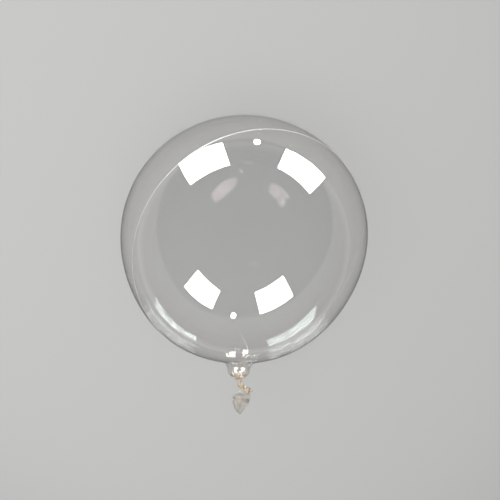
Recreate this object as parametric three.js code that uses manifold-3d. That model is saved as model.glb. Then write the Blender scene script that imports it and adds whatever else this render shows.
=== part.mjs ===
// Clear bubble balloon, lying on its side. Millimetres, +Z up.
// The line from neck to crown lies along Y: crown at +Y, neck and tail at -Y, +X to the right of it.
// The origin is the middle of the small flat that the film rests on.
import * as THREE from "three";
import { mergeVertices } from "three/addons/utils/BufferGeometryUtils.js";
import Module from "manifold-3d";

const ballRadius = 140;
const restFlatRadius = 20;
const centreHeight = Math.sqrt(ballRadius ** 2 - restFlatRadius ** 2);

// Departures of the blown film from a true ball. Each one fades with the angle away from the
// direction it points in: share of the radius, and the angle in degrees at which it has faded.
const swells = [
  { name: "taper drawn out to the neck", toward: [0, -1, 0], share: 0.026, fade: 39 },
  { name: "fuller flank", toward: [-0.553, -0.833, 0], share: 0.032, fade: 27 },
  { name: "slack flank", toward: [0.885, -0.466, 0], share: -0.028, fade: 30 },
  { name: "funnel down into the neck", toward: [0.008, -1, 0], share: 0.165, fade: 5.9 },
];

// Neck: the funnel opens into a small blown bulb, whose end is gathered into a hard twist that ends
// in the knot. The bulb starts at an angle from the neck's line, in degrees, and its outline gives
// radius and distance from the middle of the ball.
const mouthAngle = 5.2;
const bulbAxis = 0.7;
const bulbOutline = [
  [14.1, 154.8],
  [13.2, 156.6],
  [12.6, 159.4],
  [12.1, 163.2],
  [10.2, 165.9],
  [7.0, 168.2],
  [4.4, 169.9],
  [2.9, 171.2],
];
const ropeRadius = 2.9;
const gatherPleats = 8;
const gatherDepth = 0.07;
const gatherStart = 0.35;
const strandDepth = 0.2;
const strandHalfTurns = 3;
const strandTightening = 1.34;
const ropeRoute = [
  [1.4, -171.6],
  [3.0, -175.7],
  [5.2, -180.2],
  [9.2, -183.0],
  [13.0, -184.4],
];

// Knot: one turn of the twist laid round its own end, with a corner of film sticking out of it.
const knotCentre = { x: 12.4, y: -184.6 };
const knotHeading = [0.87, -0.5, 0];
const knotLoopRadius = 2.1;
const knotCordRadius = 1.6;
const spurFoot = { x: 12.8, y: -184.1 };
const spurTip = { x: 20.2, y: -184.5 };
const spurHalfWidth = 1.6;
const spurFlatness = 0.4;

// Tail: the open end of the tube beyond the knot, folded flat and crumpled. Each station gives its
// middle, how far its width is turned from X in degrees, half its width and thickness, and the
// height of its folds.
const tailStations = [
  { x: 13.4, y: -185.4, turned: 14, halfWidth: 5.2, halfThick: 2.0, fold: 0.4 },
  { x: 10.2, y: -187.7, turned: 14, halfWidth: 6.2, halfThick: 1.9, fold: 1.4 },
  { x: 5.8, y: -191.5, turned: 4, halfWidth: 10.0, halfThick: 1.4, fold: 2.4 },
  { x: 5.3, y: -197.1, turned: 0, halfWidth: 9.9, halfThick: 1.4, fold: 2.8 },
  { x: 4.4, y: -203.7, turned: 6, halfWidth: 7.3, halfThick: 1.3, fold: 2.4 },
  { x: 3.9, y: -209.3, turned: 8, halfWidth: 4.4, halfThick: 1.2, fold: 1.4 },
  { x: 4.3, y: -212.9, turned: 8, halfWidth: 2.0, halfThick: 1.0, fold: 0.5 },
];
const tailTip = { x: 5.0, y: -214.3 };
const foldsAcross = 1.7;
const foldDrift = 3.4;

// Fineness of the faceted skin.
const pointsAround = 48;
const envelopeSteps = 38;
const crowding = 1.6;
const bulbSteps = 11;
const ropeSteps = 18;
const tailSteps = 20;
const knotSides = 12;
const knotSteps = 24;
const spurSides = 16;

const { degToRad, smoothstep } = THREE.MathUtils;

// One closed ring of points, as the angle round the section goes from +X over +Z and back.
function ringOf(pointAt) {
  const step = (2 * Math.PI) / pointsAround;
  return Array.from({ length: pointsAround }, (_, i) => pointAt(i * step));
}

function filmRadius(direction) {
  let share = 1;
  for (const swell of swells) {
    const away = direction.angleTo(new THREE.Vector3(...swell.toward)) / degToRad(swell.fade);
    share += swell.share * Math.exp(-away * away);
  }
  return ballRadius * share;
}

// Rings of the ball, from just past the crown down to the bulb, closer together near the funnel.
function envelopeRings() {
  const lastPolar = Math.PI - degToRad(mouthAngle);
  return Array.from({ length: envelopeSteps }, (_, k) => {
    const polar = lastPolar * (1 - (1 - (k + 1) / envelopeSteps) ** crowding);
    return ringOf((around) => {
      const direction = new THREE.Vector3().setFromSphericalCoords(1, polar, Math.PI / 2 - around);
      return direction.multiplyScalar(filmRadius(direction));
    });
  });
}

// A section of the neck: its width lies in the X-Y plane, turned from X, and its thickness is up.
// scaleAt swells the outline with the angle round it, and riseAt lifts it with the place across it.
function neckSection({ x, y, turned, halfWidth, halfThick }, scaleAt, riseAt) {
  return ringOf((around) => {
    const scale = scaleAt(around);
    const across = halfWidth * scale * Math.cos(around);
    const up = halfThick * scale * Math.sin(around) + riseAt(Math.cos(around));
    return new THREE.Vector3(x + across * Math.cos(turned), y + across * Math.sin(turned), up);
  });
}

// The bulb runs smoothly through its outline to the twist, its far end drawn into pleats.
function bulbRings() {
  const outline = new THREE.SplineCurve(bulbOutline.map(([r, y]) => new THREE.Vector2(r, y)));
  return Array.from({ length: bulbSteps }, (_, k) => {
    const along = (k + 1) / bulbSteps;
    const { x: radius, y: distance } = outline.getPoint(along);
    const depth = gatherDepth * smoothstep(along, gatherStart, 1);
    const section = {
      x: bulbAxis,
      y: -distance,
      turned: 0,
      halfWidth: radius,
      halfThick: radius,
    };
    const pleated = (around) => 1 + depth * Math.cos(gatherPleats * around);
    return neckSection(section, pleated, () => 0);
  });
}

// The twist is two strands wound round each other along a bent route, tighter towards the knot.
function ropeRings() {
  const route = new THREE.CatmullRomCurve3(ropeRoute.map(([x, y]) => new THREE.Vector3(x, y, 0)));
  return Array.from({ length: ropeSteps }, (_, k) => {
    const along = (k + 1) / ropeSteps;
    const middle = route.getPointAt(along);
    const heading = route.getTangentAt(along);
    const wound = Math.PI * strandHalfTurns * along ** strandTightening;
    const section = {
      x: middle.x,
      y: middle.y,
      turned: Math.atan2(heading.x, -heading.y),
      halfWidth: ropeRadius,
      halfThick: ropeRadius,
    };
    return neckSection(section, (around) => 1 + strandDepth * Math.cos(2 * (around - wound)), () => 0);
  });
}

// The tail runs smoothly through its stations, its folds drifting sideways as they go.
function tailRings() {
  const places = tailStations.map(({ x, y, turned }) => new THREE.Vector3(x, y, turned));
  const sizes = tailStations.map((s) => new THREE.Vector3(s.halfWidth, s.halfThick, s.fold));
  const placeCurve = new THREE.CatmullRomCurve3(places);
  const sizeCurve = new THREE.CatmullRomCurve3(sizes);
  return Array.from({ length: tailSteps + 1 }, (_, k) => {
    const along = k / tailSteps;
    const place = placeCurve.getPoint(along);
    const size = sizeCurve.getPoint(along);
    const section = {
      x: place.x,
      y: place.y,
      turned: degToRad(place.z),
      halfWidth: size.x,
      halfThick: size.y,
    };
    const folded = (across) => size.z * Math.sin(Math.PI * foldsAcross * across + foldDrift * along);
    return neckSection(section, () => 1, folded);
  });
}

function knotGeometry() {
  const axis = new THREE.Vector3(...knotHeading).normalize();
  const turn = new THREE.Quaternion().setFromUnitVectors(new THREE.Vector3(0, 0, 1), axis);
  return new THREE.TorusGeometry(knotLoopRadius, knotCordRadius, knotSides, knotSteps)
    .applyQuaternion(turn)
    .translate(knotCentre.x, knotCentre.y, 0);
}

// A flattened cone from its foot in the knot to its point.
function spurGeometry() {
  const dx = spurTip.x - spurFoot.x;
  const dy = spurTip.y - spurFoot.y;
  return new THREE.ConeGeometry(spurHalfWidth, Math.hypot(dx, dy), spurSides)
    .scale(1, 1, spurFlatness)
    .rotateZ(Math.atan2(-dx, dy))
    .translate(spurFoot.x + dx / 2, spurFoot.y + dy / 2, 0);
}

// Skins a row of rings and closes both ends with a point.
function skinOf(firstPoint, rings, lastPoint) {
  const points = [firstPoint, ...rings.flat(), lastPoint];
  const at = (ring, i) => 1 + ring * pointsAround + (i % pointsAround);
  const end = points.length - 1;
  const index = [];
  for (let i = 0; i < pointsAround; i++) {
    index.push(0, at(0, i + 1), at(0, i));
    for (let ring = 0; ring + 1 < rings.length; ring++) {
      index.push(at(ring, i), at(ring, i + 1), at(ring + 1, i + 1));
      index.push(at(ring, i), at(ring + 1, i + 1), at(ring + 1, i));
    }
    index.push(end, at(rings.length - 1, i), at(rings.length - 1, i + 1));
  }
  const geometry = new THREE.BufferGeometry().setFromPoints(points);
  geometry.setIndex(index);
  return geometry;
}

const wasm = await Module();
wasm.setup();

function solidOf(geometry) {
  const bare = geometry.clone();
  bare.deleteAttribute("normal");
  bare.deleteAttribute("uv");
  const merged = mergeVertices(bare);
  return new wasm.Manifold(
    new wasm.Mesh({
      numProp: 3,
      vertProperties: new Float32Array(merged.attributes.position.array),
      triVerts: new Uint32Array(merged.index.array),
    }),
  );
}

function geometryOf(solid) {
  const mesh = solid.getMesh();
  const geometry = new THREE.BufferGeometry();
  geometry.setAttribute("position", new THREE.BufferAttribute(mesh.vertProperties, 3));
  geometry.setIndex(new THREE.BufferAttribute(mesh.triVerts, 1));
  geometry.computeVertexNormals();
  return geometry;
}

// The whole film is one piece: ball, bulb, twist and tail are one skin, joined to the knot and its
// spur and cut flat where the ball rests.
function filmGeometry() {
  const crown = new THREE.Vector3(0, filmRadius(new THREE.Vector3(0, 1, 0)), 0);
  const tip = new THREE.Vector3(tailTip.x, tailTip.y, 0);
  const rings = [...envelopeRings(), ...bulbRings(), ...ropeRings(), ...tailRings()];
  const skin = solidOf(skinOf(crown, rings, tip));
  const film = skin.add(solidOf(knotGeometry())).add(solidOf(spurGeometry()));
  const floor = new THREE.BoxGeometry(2 * ballRadius, 2 * ballRadius, ballRadius);
  floor.translate(0, 0, -ballRadius / 2);
  return geometryOf(film.translate(0, 0, centreHeight).subtract(solidOf(floor)));
}

const clearFilm = new THREE.MeshStandardMaterial({
  color: 0xe3e7e6,
  roughness: 0.05,
  metalness: 0,
  transparent: true,
  opacity: 0.3,
});

const balloon = new THREE.Mesh(filmGeometry(), clearFilm);
balloon.name = "film_balloon";

const group = new THREE.Group();
group.add(balloon);

export default group;
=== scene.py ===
import bpy
import numpy as np
from math import radians, pi, sin, cos, sqrt
from mathutils import Matrix, Vector


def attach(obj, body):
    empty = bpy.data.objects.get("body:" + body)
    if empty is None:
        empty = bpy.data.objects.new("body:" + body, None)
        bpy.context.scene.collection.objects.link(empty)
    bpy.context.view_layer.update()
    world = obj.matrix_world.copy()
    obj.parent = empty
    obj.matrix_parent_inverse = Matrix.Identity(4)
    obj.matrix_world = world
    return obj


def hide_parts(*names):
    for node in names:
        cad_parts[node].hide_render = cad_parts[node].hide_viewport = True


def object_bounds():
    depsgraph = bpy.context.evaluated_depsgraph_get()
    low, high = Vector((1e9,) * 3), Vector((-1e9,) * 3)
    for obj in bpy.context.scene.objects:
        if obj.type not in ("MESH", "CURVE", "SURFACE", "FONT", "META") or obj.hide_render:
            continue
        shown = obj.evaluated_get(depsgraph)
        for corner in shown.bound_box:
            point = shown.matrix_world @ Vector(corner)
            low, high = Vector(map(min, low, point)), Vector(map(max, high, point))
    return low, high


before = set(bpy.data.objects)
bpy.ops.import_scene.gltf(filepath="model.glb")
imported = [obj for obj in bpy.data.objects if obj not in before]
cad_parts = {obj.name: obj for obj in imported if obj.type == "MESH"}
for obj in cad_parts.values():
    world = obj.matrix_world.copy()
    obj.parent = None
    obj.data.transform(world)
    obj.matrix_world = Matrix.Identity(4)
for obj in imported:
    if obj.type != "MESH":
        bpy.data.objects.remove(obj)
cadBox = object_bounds()

# The crown stands one ball radius, 140 mm, along Y from the ball's middle, so the frame gives every size.
mm = cadBox[1][1] / 140
ballRadius = 140 * mm
restFlatRadius = 20 * mm        # the small round flat that the ball lies on
ballMiddle = np.array([0, 0, sqrt(ballRadius ** 2 - restFlatRadius ** 2)])
upright = np.array([0, 0, 1.0])

camera = {
    "lean": radians(16),        # the view comes from above, leaning this much towards the crown
    "roll": radians(2.9),
    "distance": 15 * ballRadius,
    "lens": 133.9,
    "aimRight": 5.9 * mm,       # how far the aim lies from the ball's middle
    "aimDown": 15 * mm,
    "clipEnd": 50,              # metres
}


def hexToLinear(code):
    # each channel is c / 12.92 up to 0.04045, and ((c + 0.055) / 1.055)^2.4 above it
    channels = np.array([int(code[i:i + 2], 16) / 255 for i in (1, 3, 5)])
    linear = np.where(channels <= 0.04045, channels / 12.92, ((channels + 0.055) / 1.055) ** 2.4)
    return (*linear.tolist(), 1.0)


def addNode(tree, kind, settings=None, inputs=None, links=None):
    # settings are the node's own properties, inputs its socket values, and links the outputs of other nodes
    # that feed its sockets
    node = tree.nodes.new(kind)
    for key, value in (settings or {}).items():
        setattr(node, key, value)
    for key, value in (inputs or {}).items():
        node.inputs[key].default_value = value
    for key, output in (links or {}).items():
        tree.links.new(output, node.inputs[key])
    return node


def newMaterial(name):
    # a material whose node tree is still empty
    material = bpy.data.materials.new(name)
    material.use_nodes = True
    material.node_tree.nodes.clear()
    return material, material.node_tree


def setCamera():
    # back is the way from the ball to the camera: straight up, leaned towards the crown
    lean, roll = camera["lean"], camera["roll"]
    back = Vector((0, sin(lean), cos(lean)))
    plainUp = Vector((0, cos(lean), -sin(lean)))
    right = Vector((1, 0, 0)) * cos(roll) + plainUp * sin(roll)
    up = back.cross(right)
    aim = Vector(ballMiddle) + right * camera["aimRight"] - up * camera["aimDown"]
    place = Vector(ballMiddle) + back * camera["distance"]
    data = bpy.data.cameras.new("studioCamera")
    data.lens = camera["lens"]
    data.clip_end = camera["clipEnd"]
    cameraObject = bpy.data.objects.new("studioCamera", data)
    look = (place - aim).normalized()
    side = up.cross(look).normalized()
    cameraObject.matrix_world = Matrix((side, look.cross(side), look)).transposed().to_4x4()
    cameraObject.location = place
    bpy.context.collection.objects.link(cameraObject)
    bpy.context.scene.camera = cameraObject


setCamera()
print("camera set")


def meshObject(name, points, faces, material):
    # a smooth-shaded mesh whose object stays at the origin
    mesh = bpy.data.meshes.new(name)
    mesh.from_pydata(points.tolist(), [], faces)
    mesh.shade_smooth()
    mesh.materials.append(material)
    piece = bpy.data.objects.new(name, mesh)
    bpy.context.collection.objects.link(piece)
    return piece


def skinRows(name, rows, material):
    # each row is (rings, first point, last point), rings being (count, around, 3): quads join each ring to
    # the next, and a fan closes each end on its point
    allPoints, allFaces, base = [], [], 0
    for rings, firstPoint, lastPoint in rows:
        count, around, _ = rings.shape
        allPoints += [rings.reshape(-1, 3), [firstPoint], [lastPoint]]
        ring, turn = np.meshgrid(np.arange(count - 1), np.arange(around), indexing="ij")
        here, after = ring * around + turn, ring * around + (turn + 1) % around
        quads = np.stack([here, after, after + around, here + around], axis=-1).reshape(-1, 4) + base
        spin = np.arange(around)
        spinOn = (spin + 1) % around
        first, last = count * around, count * around + 1
        end = (count - 1) * around
        firstFan = np.stack([np.full(around, first), spinOn, spin], axis=-1) + base
        lastFan = np.stack([np.full(around, last), spin + end, spinOn + end], axis=-1) + base
        allFaces += quads.tolist() + firstFan.tolist() + lastFan.tolist()
        base += count * around + 2
    return meshObject(name, np.vstack(allPoints), allFaces, material)


def rowOf(rings):
    # a row for skinRows, closed on the middles of its first and last rings
    return rings, rings[0].mean(axis=0), rings[-1].mean(axis=0)


def wallOf(piece, thickness, even=True):
    # a second skin this far inside the first; both are closed, so there is no rim to fill
    wall = piece.modifiers.new("wall", "SOLIDIFY")
    wall.thickness = thickness
    wall.offset = -1
    wall.use_even_offset = even
    wall.use_rim = False


def asFilm(piece, throwsShadow=False):
    # every piece is part of the one film body, and a thin clear layer throws next to no shadow
    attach(piece, "root")
    piece.visible_shadow = throwsShadow


def anglesRound(count):
    # evenly spaced angles once round: 2 pi * i / count
    return np.arange(count) / count * 2 * pi


def smoothThrough(stations, along):
    # a Catmull-Rom curve through the stations, carried straight on past both ends, with along from 0 to 1:
    # between b and c, with a before them and d after, it is half of
    # 2b + (c - a) t + (2a - 5b + 4c - d) t^2 + (3b - a - 3c + d) t^3
    stations = np.asarray(stations, dtype=float)
    padded = np.vstack([2 * stations[0] - stations[1], stations, 2 * stations[-1] - stations[-2]])
    place = np.clip(along, 0, 1) * (len(stations) - 1)
    start = np.minimum(place.astype(int), len(stations) - 2)
    part = (place - start)[:, None]
    a, b, c, d = (padded[start + i] for i in range(4))
    return 0.5 * (2 * b + (c - a) * part + (2 * a - 5 * b + 4 * c - d) * part ** 2
                  + (3 * b - a - 3 * c + d) * part ** 3)


def ridge(x):
    # a sharp fold: rises and falls in straight lines between -1 and 1, once per 2 pi
    return 2 / pi * np.arcsin(np.sin(x))


def bell(away, reach):
    # exp(-(away / reach)^2): 1 in the middle, next to nothing beyond twice the reach
    return np.exp(-(away / reach) ** 2)


def easeIn(share):
    # 3 s^2 - 2 s^3, which runs from 0 to 1 and starts and ends level
    share = np.clip(share, 0, 1)
    return share * share * (3 - 2 * share)


# The blown ball, drawn down into its neck.
ball = {
    "swells": [                 # share of the radius, fading with the angle from a direction
        {"toward": (0, -1, 0), "share": 0.026, "fade": radians(39)},            # a taper towards the neck
        {"toward": (-0.553, -0.833, 0), "share": 0.032, "fade": radians(27)},   # a fuller flank
        {"toward": (0.885, -0.466, 0), "share": -0.028, "fade": radians(30)},   # a slacker flank
        {"toward": (0.008, -1, 0), "share": 0.165, "fade": radians(5.9)},       # the funnel
    ],
    "mouthAngle": radians(5.2),     # from the neck's line, where the funnel passes into the bulb
    "crowding": 1.6,            # how much closer together the rings stand towards the neck
    "around": 256,
    "rings": 120,
    "wall": 0.15 * mm,
    "restSoftness": 0.3 * mm,   # over which the film eases onto the floor
}

# The small bulb at the foot of the funnel, and the low relief on both.
bulb = {
    # radius and distance from the middle of the ball, from the mouth to the twist
    "outline": np.array([[14.1, 154.8], [13.2, 156.6], [12.6, 159.4], [12.1, 163.2],
                         [10.2, 165.9], [7.0, 168.2], [4.4, 169.9], [2.9, 171.2]]) * mm,
    "slopeStep": 1e-3,          # share of the outline over which its slope is measured, each way
    "axis": 0.7 * mm,           # how far the bulb's middle stands across from the ball's
    "rings": 58,
    "joined": 0.3,              # share of the bulb over which its rim settles from the ball's own shape
    "pleats": 8,
    "pleatDepth": 0.07,
    "pleatStart": 0.35,
    "tautLines": 17,            # lines of strain that run down the funnel and the bulb to the twist
    "tautBend": 0.8,
    "fineLines": 29,            # finer ones between them
    "tautDepth": 0.11 * mm,     # on the bulb, at the twist
    "funnelDepth": 0.22 * mm,   # on the funnel, at the mouth
    "funnelFade": radians(4.5),
    "bunchDepth": 0.2 * mm,     # rings of film bunched round the top of the funnel
    "bunchPeriod": radians(1.7),
    "bunchBend": 0.4,
    "bunchMiddle": radians(3.6),
    "bunchReach": radians(2.6),
}


def filmRadius(directions):
    # the radius times one plus, for each swell, share * bell(the angle to it, fade)
    share = np.ones(directions.shape[:-1])
    for swell in ball["swells"]:
        toward = np.array(swell["toward"]) / np.linalg.norm(swell["toward"])
        angle = np.arccos(np.clip(directions @ toward, -1, 1))
        share += swell["share"] * bell(angle, swell["fade"])
    return ballRadius * share


def onFilm(directions, lift=0.0):
    # the ball's film in each direction, middle + direction * (its radius there + lift), with its height z
    # eased onto the floor as (z + sqrt(z^2 + restSoftness^2)) / 2
    points = ballMiddle + directions * (filmRadius(directions) + lift)[..., None]
    soft = ball["restSoftness"]
    points[..., 2] = 0.5 * (points[..., 2] + np.sqrt(points[..., 2] ** 2 + soft ** 2))
    return points


def strainLines(turn):
    # round the neck, ridge(tautLines * turn + tautBend * sin(3 turn)) and half of ridge(fineLines * turn + 2)
    wide = ridge(bulb["tautLines"] * turn + bulb["tautBend"] * np.sin(3 * turn))
    return wide + 0.5 * ridge(bulb["fineLines"] * turn + 2)


def ballRings():
    # direction = (sin polar cos turn, cos polar, sin polar sin turn), with polar running from the crown to
    # the mouth as 1 - (1 - share)^crowding. With up the angle from the mouth, the film is lifted by
    # funnelDepth * bell(up, funnelFade) * strainLines, and by bunchDepth * bell(up - bunchMiddle, bunchReach)
    # * sin(2 pi * up / bunchPeriod + bunchBend * sin(3 turn))
    share = np.arange(1, ball["rings"] + 1) / ball["rings"]
    polar = ((pi - ball["mouthAngle"]) * (1 - (1 - share) ** ball["crowding"]))[:, None]
    turn = anglesRound(ball["around"])[None, :]
    directions = np.stack([
        np.sin(polar) * np.cos(turn),
        np.cos(polar) * np.ones_like(turn),
        np.sin(polar) * np.sin(turn),
    ], axis=-1)
    up = polar[-1] - polar
    lines = bulb["funnelDepth"] * bell(up, bulb["funnelFade"]) * strainLines(turn)
    wave = np.sin(2 * pi * up / bulb["bunchPeriod"] + bulb["bunchBend"] * np.sin(3 * turn))
    bunched = bulb["bunchDepth"] * bell(up - bulb["bunchMiddle"], bulb["bunchReach"]) * wave
    return onFilm(directions, lines + bunched)


def bulbPoints(share, turn, lift=0.0):
    # the outline turned about the neck's line and moved out square to itself by lift, its far end rippled by
    # 1 + pleatDepth * cos(pleats * turn)
    share, turn, lift = np.broadcast_arrays(share, turn, lift)
    step = bulb["slopeStep"]
    before, here, after = (
        smoothThrough(bulb["outline"], (share + move).ravel()).reshape(*share.shape, 2)
        for move in (-step, 0, step))
    slope = after - before
    slope /= np.linalg.norm(slope, axis=-1, keepdims=True)
    gathered = easeIn((share - bulb["pleatStart"]) / (1 - bulb["pleatStart"]))
    ripple = 1 + bulb["pleatDepth"] * np.cos(bulb["pleats"] * turn) * gathered
    radius = (here[..., 0] + lift * slope[..., 1]) * ripple
    down = here[..., 1] - lift * slope[..., 0]
    across = bulb["axis"] + radius * np.cos(turn)
    return ballMiddle + np.stack([across, -down, radius * np.sin(turn)], axis=-1)


def bulbRings(rim):
    # the outline, plus the ball's own rim less the outline's, fading over the joined share; the strain lines
    # grow to tautDepth at the twist
    share = np.linspace(0, 1, bulb["rings"] + 1)[1:, None]
    turn = anglesRound(ball["around"])[None, :]
    rings = bulbPoints(share, turn, bulb["tautDepth"] * easeIn(share) * strainLines(turn))
    return rings + (1 - easeIn(share / bulb["joined"]))[..., None] * (rim - bulbPoints(0.0, turn[0]))


def clearFilm():
    # Thermoplastic polyurethane film, heated and blown: colourless and mirror-smooth, with a faint grey where
    # it is seen on edge. It is thin enough to tint its own shine.
    material, tree = newMaterial("blownPolyurethaneFilm")
    shader = addNode(tree, "ShaderNodeBsdfPrincipled", inputs={
        "Base Color": hexToLinear("#fbfbfa"),
        "Roughness": 0.0,
        "IOR": 1.58,
        "Transmission Weight": 1.0,
        "Thin Film Thickness": 620.0,       # nanometres
        "Thin Film IOR": 1.55,
    })
    addNode(tree, "ShaderNodeOutputMaterial", links={"Surface": shader.outputs["BSDF"]})
    return material


filmMaterial = clearFilm()
blownRings = ballRings()
filmRings = np.concatenate([blownRings, bulbRings(blownRings[-1])])
crown = ballMiddle + np.array([0, ballRadius, 0])
bulbEnd = filmRings[-1].mean(axis=0)
film = skinRows("film_envelope", [(filmRings, crown, bulbEnd)], filmMaterial)
wallOf(film, ball["wall"])
asFilm(film)
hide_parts("film_balloon")
print("film blown")


# Flat folds of film that show inside the bulb.
bulbFolds = {
    # in mm: the place of each fold from the ball's middle, its width and its length; facing is the way its
    # flat faces
    "folds": [
        {"place": (-2.8, -154.1, 9.0), "facing": (-0.222, 0.761, 0.610), "wide": 6.2, "long": 5.2},
        {"place": (5.6, -154.1, 9.0), "facing": (0.268, 0.735, 0.624), "wide": 4.9, "long": 5.2},
    ],
    "thick": 0.12 * mm,
}


def foldMesh():
    # each fold is a thin wedge: a triangle with its point towards the twist, and the same triangle behind it
    points, faces = [], []
    for fold in bulbFolds["folds"]:
        facing = np.array(fold["facing"]) / np.linalg.norm(fold["facing"])
        wide = np.array([1.0, 0, 0]) - facing[0] * facing
        wide /= np.linalg.norm(wide)
        down = np.cross(wide, facing)
        place = ballMiddle + np.array(fold["place"]) * mm
        corners = np.array([place + wide * fold["wide"] / 2 * mm, place - wide * fold["wide"] / 2 * mm,
                            place + down * fold["long"] * mm])
        base = len(points)
        points += [*corners, *(corners - facing * bulbFolds["thick"])]
        faces += [[base, base + 1, base + 2], [base + 5, base + 4, base + 3]]
        faces += [[base + i, base + 3 + i, base + 3 + (i + 1) % 3, base + (i + 1) % 3] for i in range(3)]
    return np.array(points), faces


foldPoints, foldFaces = foldMesh()
folds = meshObject("bulb_folds", foldPoints, foldFaces, filmMaterial)
folds.data.shade_flat()
asFilm(folds)
print("bulb folded")


# The weld runs round the ball from one side of the neck to the other, in a plane beside the ball's middle.
weld = {
    "facing": np.array([0.356, -0.148, 0.923]),     # the way the plane faces
    "offset": 0.148,            # how far the plane lies from the middle, in ball radii
    "halfWidth": 0.6 * mm,
    "proud": 0.2 * mm,
    "clearOfNeck": radians(7),  # where it stops, each side of the neck's line
    "points": 620,
}

# A stretch mark in the underside of the film, near the neck.
neckCrease = {
    # the angle from the neck's line, and the place across
    "stations": [(radians(6.2), 2.2 * mm), (radians(7.4), 6.6 * mm), (radians(9.2), 8.9 * mm),
                 (radians(11), 9.6 * mm), (radians(16.4), 5.8 * mm), (radians(21.6), 1.15 * mm)],
    "halfWidth": 0.5 * mm,
    "proud": 0.15 * mm,
    "points": 60,
}

bead = {
    "around": 12,
    "taper": 0.06,              # share of the bead's length over which each end thins
    "tip": 0.05,                # the bead ends at sqrt(tip) of its size
}


def weldMaterial():
    # Film melted to film by a hot bar: the doubled edge is frosted, in patches about 2 mm across, so it shows
    # as a fine milky line.
    material, tree = newMaterial("hotBarWeldedFilm")
    place = addNode(tree, "ShaderNodeTexCoord")
    grain = addNode(tree, "ShaderNodeTexNoise", inputs={"Scale": 0.45 / mm, "Detail": 3.0},
                    links={"Vector": place.outputs["Object"]})
    frost = addNode(tree, "ShaderNodeMapRange", inputs={"To Min": 0.25, "To Max": 0.5},
                    links={"Value": grain.outputs["Fac"]})
    shader = addNode(tree, "ShaderNodeBsdfPrincipled", inputs={
        "Base Color": hexToLinear("#f4f5f3"),
        "IOR": 1.5,
        "Transmission Weight": 0.55,
    }, links={"Roughness": frost.outputs["Result"]})
    addNode(tree, "ShaderNodeOutputMaterial", links={"Surface": shader.outputs["BSDF"]})
    return material


def beadOnFilm(directions, halfWidth, proud):
    # a low bead along a row of directions: across the row halfWidth * cos, away from the film proud * sin,
    # both thinning towards each end as sqrt(distance from it / taper)
    points = onFilm(directions)
    along = np.gradient(points, axis=0)
    along /= np.linalg.norm(along, axis=1, keepdims=True)
    across = np.cross(directions, along)
    across /= np.linalg.norm(across, axis=1, keepdims=True)
    out = np.cross(along, across)
    share = np.linspace(0, 1, len(points))[:, None, None]
    taper = np.clip(np.minimum(share, 1 - share) / bead["taper"], bead["tip"], 1) ** 0.5
    turn = anglesRound(bead["around"])[None, :, None]
    rings = points[:, None] + taper * (halfWidth * np.cos(turn) * across[:, None]
                                       + proud * np.sin(turn) * out[:, None])
    return rings, points[0], points[-1]


def weldDirections():
    # the circle where the plane cuts the film: direction = s * facing + sqrt(1 - s^2) * (round the plane),
    # with s = offset over the film's radius there, found again four times
    facing = weld["facing"] / np.linalg.norm(weld["facing"])
    sideways = np.cross(facing, [0, -1, 0])
    sideways /= np.linalg.norm(sideways)
    toNeck = np.cross(sideways, facing)
    turn = np.linspace(weld["clearOfNeck"], 2 * pi - weld["clearOfNeck"], weld["points"])[:, None]
    inPlane = np.cos(turn) * toNeck + np.sin(turn) * sideways
    share = np.full((len(turn), 1), weld["offset"])
    for _ in range(4):
        directions = share * facing + np.sqrt(1 - share ** 2) * inPlane
        share = weld["offset"] * ballRadius / filmRadius(directions)[:, None]
    return directions


def creaseDirections():
    # direction = (across, -cos angle, -sqrt(sin^2 angle - across^2)), on the underside, with the angle taken
    # from the neck's line and across in ball radii
    row = smoothThrough(neckCrease["stations"], np.linspace(0, 1, neckCrease["points"]))
    angle, across = row[:, 0], row[:, 1] / ballRadius
    under = -np.sqrt(np.maximum(np.sin(angle) ** 2 - across ** 2, 0))
    return np.stack([across, -np.cos(angle), under], axis=-1)


weldFilm = weldMaterial()
weldBead = beadOnFilm(weldDirections(), weld["halfWidth"], weld["proud"])
asFilm(skinRows("weld_seam", [weldBead], weldFilm))
creaseBead = beadOnFilm(creaseDirections(), neckCrease["halfWidth"], neckCrease["proud"])
asFilm(skinRows("neck_crease", [creaseBead], weldFilm))
print("weld and crease laid")


# The end of the bulb, gathered into pleats round the twist.
gather = {
    "edge": 0.63,               # share of the way down the bulb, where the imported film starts
    "reach": 0.18,              # how much further up the longest pleats run
    "lift": 0.16 * mm,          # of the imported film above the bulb's own skin
    "thick": 0.55 * mm,
    "ribHeight": 0.95 * mm,
    "pleats": 23,
    "stray": 0.1,               # radians by which a pleat may leave its even turn
    "shortest": 0.3,            # length of the least pleat, as a share of the most there can be
    "ribWidth": 0.1,            # radians
    "rings": 46,
    "around": 240,
}


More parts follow.
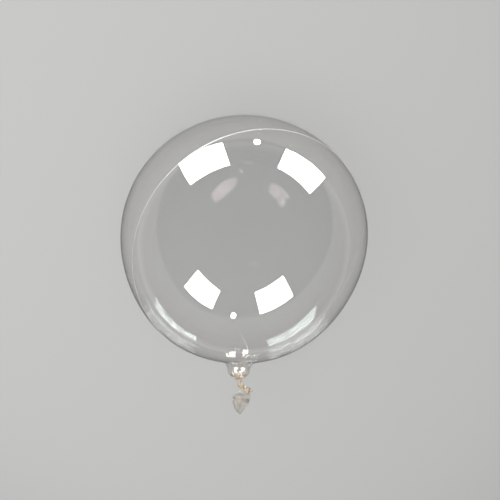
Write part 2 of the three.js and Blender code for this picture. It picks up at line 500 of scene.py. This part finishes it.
def gatheredFilm(name, light, mid, dark, transmission, roughness, coat=0.4, specular=0.5):
    # Clear film wrung tight: many layers with air between them scatter the light, so it reads creamy and only
    # half clear, in blotches about 3 mm across and darker in its folds, with wrinkles under 1 mm apart.
    material, tree = newMaterial(name)
    place = addNode(tree, "ShaderNodeTexCoord")
    blotch = addNode(tree, "ShaderNodeTexNoise",
                     inputs={"Scale": 0.35 / mm, "Detail": 4.0, "Distortion": 0.6},
                     links={"Vector": place.outputs["Object"]})
    tone = addNode(tree, "ShaderNodeValToRGB", links={"Fac": blotch.outputs["Fac"]})
    ramp = tone.color_ramp
    ramp.elements[0].position, ramp.elements[0].color = 0.32, hexToLinear(dark)
    ramp.elements[1].position, ramp.elements[1].color = 0.66, hexToLinear(light)
    middle = ramp.elements.new(0.48)
    middle.color = hexToLinear(mid)
    wrinkle = addNode(tree, "ShaderNodeTexNoise", inputs={"Scale": 1.3 / mm, "Detail": 3.0},
                      links={"Vector": place.outputs["Object"]})
    bump = addNode(tree, "ShaderNodeBump", inputs={"Strength": 0.5, "Distance": 0.35 * mm},
                   links={"Height": wrinkle.outputs["Fac"]})
    gloss = addNode(tree, "ShaderNodeMapRange", inputs={"To Min": roughness, "To Max": roughness + 0.2},
                    links={"Value": wrinkle.outputs["Fac"]})
    shader = addNode(tree, "ShaderNodeBsdfPrincipled", inputs={
        "IOR": 1.5,
        "Transmission Weight": transmission,
        "Specular IOR Level": specular,
        "Coat Weight": coat,
        "Coat Roughness": 0.15,
    }, links={
        "Base Color": tone.outputs["Color"],
        "Normal": bump.outputs["Normal"],
        "Roughness": gloss.outputs["Result"],
    })
    addNode(tree, "ShaderNodeOutputMaterial", links={"Surface": shader.outputs["BSDF"]})
    return material


def gatherRings():
    # pleat k lies at its even turn moved by stray * sin(5k), and its length runs from shortest to 1 with
    # |sin(2.3k + 1)|; rib = the tallest of length * bell(turn away, ribWidth) over the pleats. The packed
    # film starts at edge - reach * rib^1.5, and each pleat stands out by lift + ribHeight * rib, swelling
    # from its tip as sqrt(share) and thinning to the twist as 1.15 - 0.75 * share
    pleat = np.arange(gather["pleats"])
    turns = anglesRound(gather["pleats"]) + gather["stray"] * np.sin(5 * pleat)
    lengths = gather["shortest"] + (1 - gather["shortest"]) * np.abs(np.sin(2.3 * pleat + 1))
    turn = anglesRound(gather["around"])
    away = (turn[:, None] - turns[None, :] + pi) % (2 * pi) - pi
    rib = (lengths * bell(away, gather["ribWidth"])).max(axis=1)
    share = np.linspace(0, 1, gather["rings"])[:, None]
    start = gather["edge"] - gather["reach"] * rib ** 1.5
    down = start + share * (1 - start)
    lift = gather["lift"] + gather["ribHeight"] * rib * np.sqrt(share) * (1.15 - 0.75 * share)
    outer = bulbPoints(down, turn[None, :], lift)
    inner = bulbPoints(down, turn[None, :], lift - gather["thick"])
    return np.concatenate([inner[::-1], outer])


# The pleats are duller than the twist: their creases are too fine to mirror anything.
pleatFilm = gatheredFilm("gatheredFilm", "#f8efe2", "#ead9c3", "#c4a684", 0.15, 0.4, coat=0.0, specular=0.15)
pleatRings = gatherRings()
pleats = skinRows("gather_pleats", [(pleatRings, pleatRings[0].mean(axis=0), bulbEnd)], pleatFilm)
asFilm(pleats)
print("bulb gathered")


# The neck, wrung into two strands. Routes here are in the X-Y plane, from the ball's middle.
twist = {
    "route": np.array([[1.1, -170.6], [2.9, -175.5], [5.2, -180.2], [9.2, -183.0], [13.0, -184.4]]) * mm,
    "strandRadius": 1.92 * mm,
    "windRadius": 1.2 * mm,
    "turns": 1.5,
    "startTurn": 0.5,
    "tightening": 1.34,         # the beads of the twist shorten towards the knot
    "beadSwell": 0.12,
    "creases": 7,
    "creaseDepth": 0.07,
    "fineCreases": 13,
    "fineDepth": 0.03,
    "rings": 120,
    "around": 56,
}

# The twist laid once round its own end.
knot = {
    "middle": np.array([12.8, -184.7, 0]) * mm,
    "ahead": np.array([0.87, -0.5, 0]),     # the way the twist runs into the knot
    "across": np.array([0.5, 0.87, 0]),
    "turns": 1.12,
    "startTurn": 0.4,
    "slip": 1.6,                # mm along the twist for each turn
    "loopRadius": 2.3 * mm,
    "cordRadius": 1.7 * mm,
    "creases": 6,
    "creaseDepth": 0.08,
    "steps": 72,
    "around": 40,
}

# A flat corner of film that sticks out of the knot.
spur = {
    "route": np.array([[13.4, -184.1], [16.6, -183.9], [20.4, -184.5]]) * mm,
    "halfWidth": 1.5 * mm,
    "halfPoint": 0.15 * mm,
    "halfThick": 0.4 * mm,
    "bend": 0.7 * mm,
    "rings": 24,
    "around": 32,
}


def flatRoute(stations, count):
    # a route in the plane of the neck: how far along each point is, the points, middle + smoothThrough of the
    # stations, and the way across, which is square to the heading
    along = np.linspace(0, 1, count)
    flat = smoothThrough(stations, along)
    points = np.column_stack([flat, np.zeros(count)]) + ballMiddle
    heading = np.gradient(points, axis=0)
    heading /= np.linalg.norm(heading, axis=1, keepdims=True)
    return along, points, np.cross(upright, heading)


def twistRows():
    # strand k winds about the route, at windRadius * (cos wind, sin wind) from it, with
    # wind = 2 pi * turns * along^tightening + pi * k + startTurn. Its radius is strandRadius, swelling by
    # beadSwell * cos(2 wind), thinning towards the knot as 1.25 - 0.3 * along, and rippled by
    # creaseDepth * cos(creases * turn + 2 wind) and fineDepth * ridge(fineCreases * turn - 3 wind)
    along, points, across = flatRoute(twist["route"], twist["rings"])
    turn = anglesRound(twist["around"])[None, :, None]
    thinning = np.clip(1.25 - 0.3 * along, 0, 1.1)[:, None, None]
    wound = 2 * pi * twist["turns"] * along ** twist["tightening"]
    rows = []
    for strand in (0, 1):
        wind = (wound + pi * strand + twist["startTurn"])[:, None, None]
        swell = (1 + twist["beadSwell"] * np.cos(wind * 2 + 0.7 * strand)) * thinning
        middles = points[:, None] + twist["windRadius"] * (
            np.cos(wind) * across[:, None] + np.sin(wind) * upright)
        ripple = 1 + twist["creaseDepth"] * np.cos(twist["creases"] * turn + 2 * wind) \
            + twist["fineDepth"] * ridge(twist["fineCreases"] * turn - 3 * wind)
        radius = twist["strandRadius"] * swell * ripple
        rings = middles + radius * (np.cos(turn) * across[:, None] + np.sin(turn) * upright)
        rows.append((rings, middles[0, 0], middles[-1, 0]))
    return rows


def knotRow():
    # a loop of cord tilted across the twist, middle + slip along it + loopRadius * (cos spin, sin spin); its
    # own radius is rippled by creaseDepth * ridge(creases * turn + 2 spin) and runs out at both ends as
    # 2.2 * sin(pi * share of the loop)
    steps = knot["steps"]
    spin = (np.arange(steps + 1) / steps * 2 * pi * knot["turns"] - knot["startTurn"])[:, None, None]
    turn = anglesRound(knot["around"])[None, :, None]
    out = np.cos(spin) * knot["across"] + np.sin(spin) * upright
    slip = knot["ahead"] * (spin / (2 * pi) - 0.5) * knot["slip"] * mm
    ends = np.clip(np.sin(np.linspace(0.12, pi - 0.12, steps + 1))[:, None, None] * 2.2, 0, 1)
    cord = knot["cordRadius"] * (1 + knot["creaseDepth"] * ridge(knot["creases"] * turn + 2 * spin)) * ends
    loop = ballMiddle + knot["middle"] + slip + out * knot["loopRadius"]
    return rowOf(loop + cord * (np.cos(turn) * out - np.sin(turn) * knot["ahead"]))


def spurRow():
    # halfWidth * (1 - along)^0.8 + halfPoint wide and halfThick thick, with folds ridge(3 turn) that swell it
    # by half, on a route that bends up by bend * sin(3 along)
    along, points, across = flatRoute(spur["route"], spur["rings"])
    turn = anglesRound(spur["around"])[None, :, None]
    width = (spur["halfWidth"] * (1 - along) ** 0.8 + spur["halfPoint"])[:, None, None]
    thick = spur["halfThick"] * (1 + 0.5 * ridge(3 * turn))
    bend = (spur["bend"] * np.sin(3 * along))[:, None, None] * upright
    return rowOf(points[:, None] + bend + width * np.cos(turn) * across[:, None]
                 + thick * np.sin(turn) * upright)


ropeFilm = gatheredFilm("twistedFilm", "#faf1e3", "#ead7bd", "#bd9a74", 0.1, 0.25)
rope = skinRows("twisted_neck", [*twistRows(), knotRow(), spurRow()], ropeFilm)
asFilm(rope, throwsShadow=True)
print("neck twisted and knotted")


# The open end of the film tube, folded flat and crumpled.
tail = {
    # in mm and degrees: middle x and y, turned, half width, half thickness, height of the broad folds
    "stations": np.array([
        (13.4, -185.4, 14, 4.4, 2.0, 0.4),
        (10.2, -187.7, 14, 6.4, 2.0, 1.4),
        (5.8, -191.5, 4, 10.0, 1.7, 2.4),
        (5.3, -197.1, 0, 9.9, 1.6, 2.8),
        (4.4, -203.7, 6, 7.5, 1.5, 2.4),
        (3.9, -209.3, 8, 4.4, 1.2, 1.4),
        (4.3, -212.9, 8, 2.0, 0.9, 0.5),
    ]),
    "tip": np.array([5.0, -214.3, 0]) * mm,
    "foldsAcross": 1.7,
    "foldDrift": 3.4,
    "ragged": 0.05,
    "notch": {"at": 0.48, "reach": 0.04, "depth": 0.36},    # on the left edge, below the fin
    # sharp creases: how high, how many across, how many along, where they start, and how much the two
    # sheets differ
    "creases": [
        (1.2, 8.0, 6.0, 0.4, 0.9),
        (1.0, -6.5, 15.0, 1.9, -1.0),
        (0.7, 14.0, -19.0, 3.1, 1.0),
        (0.5, 5.0, 33.0, 0.8, -0.8),
        (0.25, -24.0, 26.0, 2.2, 1.0),
    ],
    "fullCreasesFrom": 6,       # mm of half width; the creases are lower where the tail is narrower
    "rings": 140,
    "around": 230,
    "wall": 0.12 * mm,
}

# A pleat folded out to the left over the tail.
tailFin = {
    "route": np.array([[12.6, -186.4], [8.6, -188.6], [3.2, -190.3], [-1.4, -191.8], [-4.6, -193.2]]) * mm,
    "halfWidth": np.array([[2.2], [3.4], [3.9], [2.8], [0.9]]) * mm,
    "halfThick": 0.9 * mm,
    "rise": 2.4 * mm,
    "tilt": 1.2 * mm,
    # sharp crumples: how high, how many along, how many across, where they start
    "crumples": [(0.7 * mm, 9, 3, 0), (0.6 * mm, 21, -5, 1)],
    "rings": 90,
    "around": 96,
}

# A small wad of film in the tail.
tailWad = {
    "middle": np.array([11.3, -196.8, 2.3]) * mm,
    "radius": 2.7 * mm,
    "wide": 1.1,
    "thick": 0.75,
    # creases: how high as a share of the radius, how many round, how many down, how much they wander
    "creases": [(0.13, 2, 5, 1), (0.09, -3, 9, 2), (0.05, 7, 11, -1)],
    "rings": 48,
    "around": 120,
}


def tailRow():
    # each section is an ellipse lifted by fold * sin(pi * foldsAcross * across + foldDrift * along) and by
    # sharp creases, high * ridge(crosswise * across + lengthwise * along + a slow bend), that differ between
    # its two sheets; its edge is ragged, with the notch as depth * bell(along - at, reach)
    along = np.linspace(0, 1, tail["rings"])
    place = smoothThrough(tail["stations"], along)[:, :, None]
    x, y, turned, halfWidth, halfThick, fold = (place[:, i] for i in range(6))
    turned = np.radians(turned)
    turn = anglesRound(tail["around"])[None, :]
    v = along[:, None]
    across, sheet = np.cos(turn), np.sin(turn)
    notch = tail["notch"]
    ragged = 1 + tail["ragged"] * ridge(19 * v + 1) * across + tail["ragged"] * ridge(31 * v + 2 * across) \
        - notch["depth"] * bell(v - notch["at"], notch["reach"]) * np.clip(-across, 0, 1)
    offset = halfWidth * ragged * across
    lift = halfThick * sheet + fold * np.sin(pi * tail["foldsAcross"] * across + tail["foldDrift"] * v)
    room = np.minimum(halfWidth / tail["fullCreasesFrom"], 1)
    for high, crosswise, lengthwise, start, differ in tail["creases"]:
        bent = 0.9 * np.sin(7 * v + 2.6 * across + 2 * start)
        crease = ridge(crosswise * across + lengthwise * v + start + bent + 0.6 * differ * sheet)
        lift = lift + room * high * crease * (1 + 0.5 * differ * sheet)
    rings = np.stack([
        x + offset * np.cos(turned),
        y + offset * np.sin(turned),
        lift,
    ], axis=-1) * mm + ballMiddle
    return rings, rings[0].mean(axis=0), ballMiddle + tail["tip"]


def finRow():
    # flat sections, halfWidth * cos across and halfThick * sin up, that rise off the tail, sink along the fin
    # and lie tilted; crumples, high * ridge(lengthwise * along + crosswise * cos + start), fade at its end
    along, points, across = flatRoute(tailFin["route"], tailFin["rings"])
    halfWidth = smoothThrough(tailFin["halfWidth"], along)[:, None]
    turn = anglesRound(tailFin["around"])[None, :, None]
    v = along[:, None, None]
    crumple = sum(high * ridge(lengthwise * v + crosswise * np.cos(turn) + start)
                  for high, lengthwise, crosswise, start in tailFin["crumples"])
    height = tailFin["halfThick"] * np.sin(turn) + tailFin["rise"] * (1 - v * 0.5) \
        - tailFin["tilt"] * np.cos(turn) + crumple * np.clip(4 * (1 - v), 0, 1)
    return rowOf(points[:, None] + halfWidth * np.cos(turn) * across[:, None] + height * upright)


def wadRow():
    # a flattened ball, radius * (1 + sin polar * creases), each crease being
    # high * ridge(round * turn + down * polar + much * a slow wander)
    polar = (np.arange(1, tailWad["rings"]) / tailWad["rings"] * pi)[:, None]
    turn = anglesRound(tailWad["around"])[None, :]
    wander = 1.3 * np.sin(2 * polar + turn) + 0.8 * np.sin(3 * polar - 2 * turn)
    creased = sum(high * ridge(around * turn + down * polar + much * wander)
                  for high, around, down, much in tailWad["creases"])
    radius = tailWad["radius"] * (1 + np.sin(polar) * creased)
    middle = ballMiddle + tailWad["middle"]
    rings = np.stack([
        middle[0] + tailWad["wide"] * radius * np.sin(polar) * np.cos(turn),
        middle[1] + radius * np.cos(polar),
        middle[2] + tailWad["thick"] * radius * np.sin(polar) * np.sin(turn),
    ], axis=-1)
    top = middle + np.array([0, radius[0].mean(), 0])
    bottom = middle - np.array([0, radius[-1].mean(), 0])
    return rings, top, bottom


def crumpledFilm():
    # The same film, crushed by hand: still clear, but every crease scatters a little, so it greys.
    material, tree = newMaterial("crumpledPolyurethaneFilm")
    shader = addNode(tree, "ShaderNodeBsdfPrincipled", inputs={
        "Base Color": hexToLinear("#fbf8f3"),
        "Roughness": 0.06,
        "IOR": 1.58,
        "Transmission Weight": 0.84,
    })
    addNode(tree, "ShaderNodeOutputMaterial", links={"Surface": shader.outputs["BSDF"]})
    return material


tailPiece = skinRows("tail_film", [tailRow(), finRow()], crumpledFilm())
wallOf(tailPiece, tail["wall"], even=False)
asFilm(tailPiece)
waddedFilm = gatheredFilm("waddedFilm", "#f5efe6", "#e2d9cc", "#bdb1a0", 0.45, 0.15)
wad = skinRows("tail_wad", [wadRow()], waddedFilm)
asFilm(wad, throwsShadow=True)
print("tail crumpled")


# The studio, in metres.
studio = {
    "floorSize": 12,            # from the middle to each edge
    "floorDrop": 0.0001,        # how far the floor lies below the part
    # painted light: the floor's pale tone is a painted pool of light round the part, and its dark tone is
    # painted falloff
    "floorPaintedPool": "#d2d2d0",
    "floorPaintedFalloff": "#3c3c3c",
    "paleWithin": 0.3,          # painted light: the floor is painted pale out to here as a pool of light round the part, and painted darker from here to farBeyond as its falloff
    "farBeyond": 1.3,
    "cardWithin": 0.165,
    "cardBeyond": 0.6,
    "cardHeight": 0.004,
    "cardSides": 96,
    "keyPlace": (-0.5, 0.2, 2.6),
    "keySide": 1.8,
    "keyLight": 6.3,
    "horizon": (0.005, 0.005, 0.005, 1),
    "sky": (0.1, 0.1, 0.103, 1),
    "skyFrom": 0.6,             # the height of a direction at which the sky is at its full light
    "bounces": 32,              # light passes through many walls of film
}

# The lamps that the film mirrors: the middle of each from the ball's, its two sides, and its brightness.
lamps = [
    {"name": "leftPanel", "shape": "RECTANGLE", "place": (-0.225, 0.395, 0.017),
     "wide": (0.200, 0.144, -0.020), "tall": (-0.046, 0.012, -0.227), "light": 24},
    {"name": "rightPanel", "shape": "RECTANGLE", "place": (0.233, 0.330, 0.021),
     "wide": (0.149, -0.146, 0.022), "tall": (0.029, -0.030, -0.171), "light": 24},
    {"name": "roundLamp", "shape": "ELLIPSE", "place": (0.039, 0.498, -0.101),
     "wide": (0.036, 0, 0), "tall": (0, 0.014, 0.055), "light": 70},
]


def lampAt(name, shape, middle, wide, tall, light):
    # the lamp faces the ball, so its own z axis points away from it; its power is light * pi * its area
    middle, wide, tall = Vector(middle), Vector(wide), Vector(tall)
    data = bpy.data.lights.new(name, "AREA")
    data.shape = shape
    data.size = wide.length
    data.size_y = tall.length
    area = data.size * data.size_y * (pi / 4 if shape == "ELLIPSE" else 1)
    data.energy = light * pi * area
    lamp = bpy.data.objects.new(name, data)
    side = wide.normalized()
    away = side.cross(tall).normalized()
    if away.dot(middle - Vector(ballMiddle)) < 0:
        side = -side
        away = -away
    lamp.matrix_world = Matrix((side, away.cross(side), away)).transposed().to_4x4()
    lamp.location = middle
    lamp.visible_camera = False
    bpy.context.collection.objects.link(lamp)
    return lamp


def floorWithPaintedLightPool():
    # Matt board with painted light: a painted pool of light round the part, fading to painted dark far out so
    # that the film has something to mirror.
    material, tree = newMaterial("boardWithPaintedLightPool")
    place = addNode(tree, "ShaderNodeTexCoord")
    flat = addNode(tree, "ShaderNodeVectorMath", {"operation": "LENGTH"},
                   links={"Vector": place.outputs["Object"]})
    out = addNode(tree, "ShaderNodeMapRange", {"interpolation_type": "SMOOTHERSTEP"},
                  {"From Min": studio["paleWithin"], "From Max": studio["farBeyond"]},
                  {"Value": flat.outputs["Value"]})
    # painted light: the pale pool round the part fades to painted dark far out
    tone = addNode(tree, "ShaderNodeMix", {"data_type": "RGBA"}, links={"Factor": out.outputs["Result"]})
    tone.inputs["A"].default_value = hexToLinear(studio["floorPaintedPool"])
    tone.inputs["B"].default_value = hexToLinear(studio["floorPaintedFalloff"])
    shader = addNode(tree, "ShaderNodeBsdfPrincipled", inputs={"Roughness": 0.9, "Specular IOR Level": 0.0},
                     links={"Base Color": tone.outputs["Result"]})
    addNode(tree, "ShaderNodeOutputMaterial", links={"Surface": shader.outputs["BSDF"]})
    return material


def flockedCard():
    # Black flock on card: it gives back next to no light.
    material, tree = newMaterial("blackFlock")
    shader = addNode(tree, "ShaderNodeBsdfPrincipled", inputs={
        "Base Color": hexToLinear("#0b0b0b"),
        "Roughness": 1.0,
        "Specular IOR Level": 0.0,
    })
    addNode(tree, "ShaderNodeOutputMaterial", links={"Surface": shader.outputs["BSDF"]})
    return material


def blackCard():
    # a flat black ring laid round the part, seen only in the film's own shine, so that the rim reads dark
    sides = studio["cardSides"]
    turn = anglesRound(sides)
    ring = np.stack([np.cos(turn), np.sin(turn), 0 * turn], axis=-1)
    edges = np.vstack([ring * studio["cardWithin"], ring * studio["cardBeyond"]])
    faces = [[i, sides + i, sides + (i + 1) % sides, (i + 1) % sides] for i in range(sides)]
    card = meshObject("studioCard", edges + [0, 0, studio["cardHeight"]], faces, flockedCard())
    card.visible_camera = False
    card.visible_diffuse = False
    card.visible_transmission = False
    card.visible_shadow = False


def studioFloor():
    # a square of board with a painted pool of light round the part
    size = studio["floorSize"]
    corners = np.array([[-size, -size, 0], [size, -size, 0], [size, size, 0], [-size, size, 0]], dtype=float)
    floor = meshObject("studioFloor", corners - [0, 0, studio["floorDrop"]], [(0, 1, 2, 3)], floorWithPaintedLightPool())


def studioLights():
    # the lamps are only mirrored, and the overhead key only lights what is matt
    for lamp in lamps:
        place = Vector(ballMiddle) + Vector(lamp["place"])
        mirrored = lampAt(lamp["name"], lamp["shape"], place, lamp["wide"], lamp["tall"], lamp["light"])
        mirrored.visible_diffuse = False
    side = studio["keySide"]
    key = lampAt("overheadKey", "RECTANGLE", studio["keyPlace"], (side, 0, 0), (0, side, 0),
                 studio["keyLight"])
    key.visible_glossy = False
    key.visible_transmission = False


def studioWorld():
    # a dim sky: next to black from the horizon down, growing lighter with height
    world = bpy.data.worlds.new("studioWorld")
    bpy.context.scene.world = world
    world.use_nodes = True
    tree = world.node_tree
    tree.nodes.clear()
    place = addNode(tree, "ShaderNodeTexCoord")
    parts = addNode(tree, "ShaderNodeSeparateXYZ", links={"Vector": place.outputs["Generated"]})
    ramp = addNode(tree, "ShaderNodeValToRGB", links={"Fac": parts.outputs["Z"]})
    ramp.color_ramp.elements[0].color = studio["horizon"]
    ramp.color_ramp.elements[1].color = studio["sky"]
    ramp.color_ramp.elements[1].position = studio["skyFrom"]
    back = addNode(tree, "ShaderNodeBackground", links={"Color": ramp.outputs["Color"]})
    addNode(tree, "ShaderNodeOutputWorld", links={"Surface": back.outputs["Background"]})


studioFloor()
blackCard()
studioLights()
studioWorld()
scene = bpy.context.scene
scene.view_settings.view_transform = "Standard"
scene.cycles.max_bounces = studio["bounces"]
scene.cycles.transmission_bounces = studio["bounces"]
scene.cycles.glossy_bounces = studio["bounces"]
scene.cycles.use_denoising = True
scene.cycles.sample_clamp_indirect = 0
scene.cycles.use_adaptive_sampling = False
scene.cycles.caustics_reflective = False
scene.cycles.caustics_refractive = False
print("studio set")
